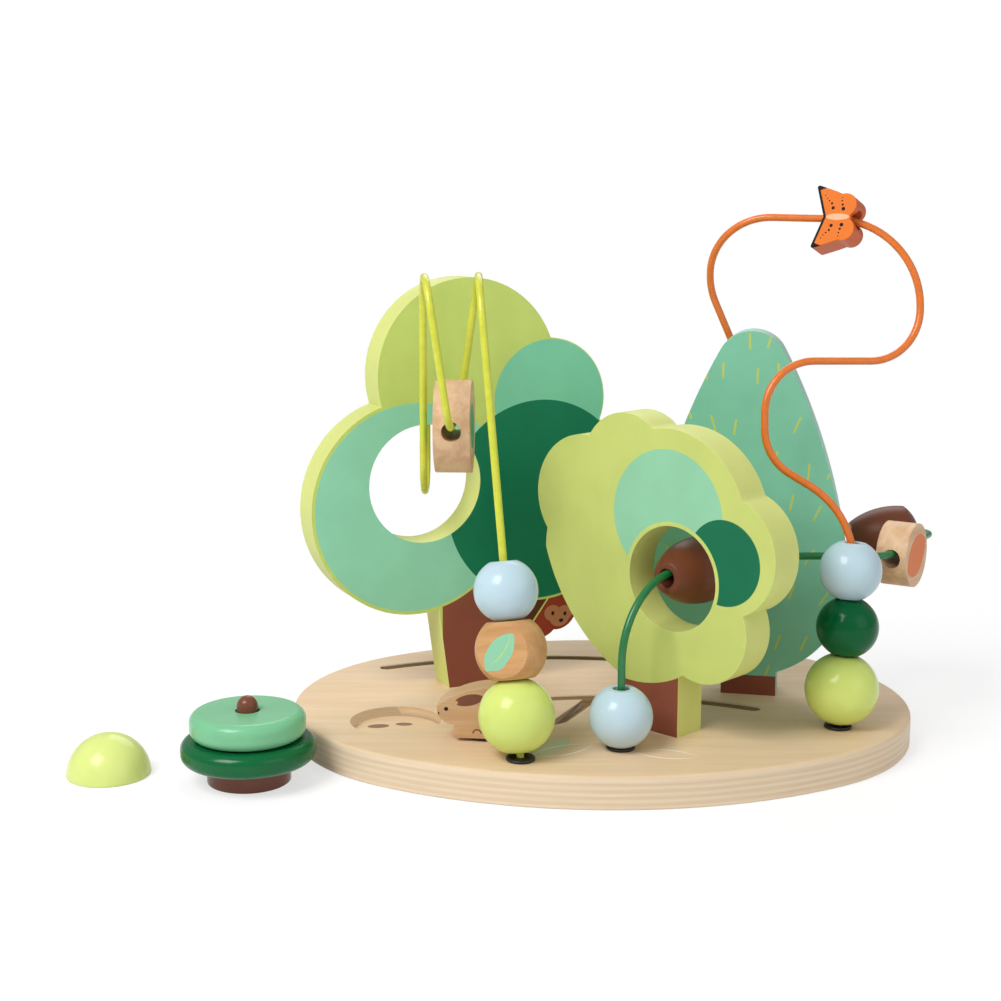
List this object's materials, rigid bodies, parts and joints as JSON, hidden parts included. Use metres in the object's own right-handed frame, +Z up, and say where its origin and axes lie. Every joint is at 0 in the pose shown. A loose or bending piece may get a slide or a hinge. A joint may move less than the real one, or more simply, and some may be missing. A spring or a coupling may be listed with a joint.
{
  "type": "bead maze",
  "caption": "Forest bead maze: oval wooden base with tree boards, bent wires that carry beads, a sliding rabbit and a small stacking tree beside it.",
  "frame": {"origin": "middle of the oval base, on its underside", "axes": "+X along the base's length to the right, +Y away from the front, +Z up"},
  "size_m": [0.4155, 0.225, 0.2634],
  "materials": {
    "plywood": "clear lacquered birch ply",
    "leaf_green_paint": "matt painted and printed",
    "lime_paint": "matt painted and printed",
    "teal_paint": "matt painted and printed",
    "steel": "zinc plated",
    "lime_coating": "gloss coating",
    "green_coating": "gloss coating",
    "orange_coating": "gloss coating",
    "black_rubber": "matt",
    "lime_lacquer": "satin lacquered",
    "bare_wood": "bare, oiled",
    "blue_lacquer": "satin lacquered",
    "brown_lacquer": "satin lacquered",
    "dark_green_lacquer": "satin lacquered",
    "orange_lacquer": "satin lacquered and printed",
    "grey_plastic": "matt",
    "mint_lacquer": "satin lacquered"
  },
  "bodies": {
    "maze": {"base_board": "plywood", "cloud_tree": "leaf_green_paint", "flower_tree": "lime_paint", "egg_tree": "teal_paint", "tree_screws": "steel", "lime_wire": "lime_coating", "green_wire": "green_coating", "orange_wire": "orange_coating", "lime_wire_washer": "black_rubber", "green_wire_washer": "black_rubber", "orange_wire_washer": "black_rubber"},
    "lime_bead_left": {"lime_bead_left": "lime_lacquer"},
    "leaf_bead": {"leaf_bead": "bare_wood"},
    "blue_bead_left": {"blue_bead_left": "blue_lacquer"},
    "large_disc_bead": {"large_disc_bead": "bare_wood"},
    "blue_bead_middle": {"blue_bead_middle": "blue_lacquer"},
    "front_acorn_bead": {"front_acorn_bead": "brown_lacquer"},
    "small_disc_bead": {"small_disc_bead": "bare_wood"},
    "back_acorn_bead": {"back_acorn_bead": "brown_lacquer"},
    "lime_bead_right": {"lime_bead_right": "lime_lacquer"},
    "dark_green_bead": {"dark_green_bead": "dark_green_lacquer"},
    "blue_bead_right": {"blue_bead_right": "blue_lacquer"},
    "butterfly_bead": {"butterfly_bead": "orange_lacquer"},
    "rabbit_slider": {"rabbit": "bare_wood", "rabbit_washer": "black_rubber", "rabbit_peg": "grey_plastic", "peg_keeper": "grey_plastic"},
    "stack_foot": {"stack_trunk": "brown_lacquer", "stack_peg": "brown_lacquer"},
    "dark_green_ring": {"dark_green_ring": "dark_green_lacquer"},
    "mint_ring": {"mint_ring": "mint_lacquer"},
    "dome_top": {"dome_top": "lime_lacquer"}
  },
  "joints": [
    {"name": "lime_bead_left_spin", "type": "hinge", "parent": "maze", "child": "lime_bead_left", "pos_m": [-0.04034, -0.09026, 0.015], "axis": [-0.0862, 0.2262, 0.9703], "continuous": true},
    {"name": "leaf_bead_slide", "type": "slide", "parent": "maze", "child": "leaf_bead", "axis": [-0.0862, 0.2262, 0.9703], "range_m": [0, 0.035]},
    {"name": "blue_bead_left_slide", "type": "slide", "parent": "leaf_bead", "child": "blue_bead_left", "axis": [-0.0862, 0.2262, 0.9703], "range_m": [0, 0.065]},
    {"name": "large_disc_swing", "type": "hinge", "parent": "maze", "child": "large_disc_bead", "pos_m": [-0.07049, -0.02409, 0.15604], "axis": [-0.0446, -0.999, 0], "range_deg": [-12, 12]},
    {"name": "blue_bead_middle_slide", "type": "slide", "parent": "maze", "child": "blue_bead_middle", "axis": [0, 0, 1], "range_m": [0, 0.008]},
    {"name": "front_acorn_spin", "type": "hinge", "parent": "maze", "child": "front_acorn_bead", "pos_m": [0.03288, -0.04492, 0.08784], "axis": [0.6884, 0.7254, 0], "continuous": true},
    {"name": "small_disc_spin", "type": "hinge", "parent": "maze", "child": "small_disc_bead", "pos_m": [0.14559, 0.00226, 0.08759], "axis": [0.5337, 0.8457, 0], "continuous": true},
    {"name": "back_acorn_spin", "type": "hinge", "parent": "maze", "child": "back_acorn_bead", "pos_m": [0.14126, 0.04402, 0.08784], "axis": [1, -0.0007, 0], "continuous": true},
    {"name": "lime_bead_right_spin", "type": "hinge", "parent": "maze", "child": "lime_bead_right", "pos_m": [0.10794, -0.04461, 0.015], "axis": [0.069, 0.0608, 0.9958], "continuous": true},
    {"name": "dark_green_bead_spin", "type": "hinge", "parent": "maze", "child": "dark_green_bead", "pos_m": [0.10794, -0.04461, 0.015], "axis": [0.069, 0.0608, 0.9958], "continuous": true},
    {"name": "blue_bead_right_climb", "type": "hinge", "parent": "maze", "child": "blue_bead_right", "pos_m": [0.07121, -0.03625, 0.09133], "axis": [-0.0876, -0.9939, 0.0667], "range_deg": [0, 45]},
    {"name": "butterfly_ride", "type": "hinge", "parent": "maze", "child": "butterfly_bead", "pos_m": [0.10583, 0.00341, 0.206], "axis": [-0.2571, -0.9501, 0.1767], "range_deg": [-30, 0]},
    {"name": "rabbit_run", "type": "slide", "parent": "maze", "child": "rabbit_slider", "axis": [0.8237, 0.5671, 0], "range_m": [0, 0.032]},
    {"name": "stack_foot_lift", "type": "slide", "parent": "maze", "child": "stack_foot", "axis": [0, 0, 1], "range_m": [0, 0.1]},
    {"name": "dark_ring_lift", "type": "slide", "parent": "stack_foot", "child": "dark_green_ring", "axis": [0, 0, 1], "range_m": [0, 0.06]},
    {"name": "mint_ring_lift", "type": "slide", "parent": "dark_green_ring", "child": "mint_ring", "axis": [0, 0, 1], "range_m": [0, 0.06]},
    {"name": "dome_lift", "type": "slide", "parent": "maze", "child": "dome_top", "axis": [0, 0, 1], "range_m": [0, 0.1]}
  ]
}
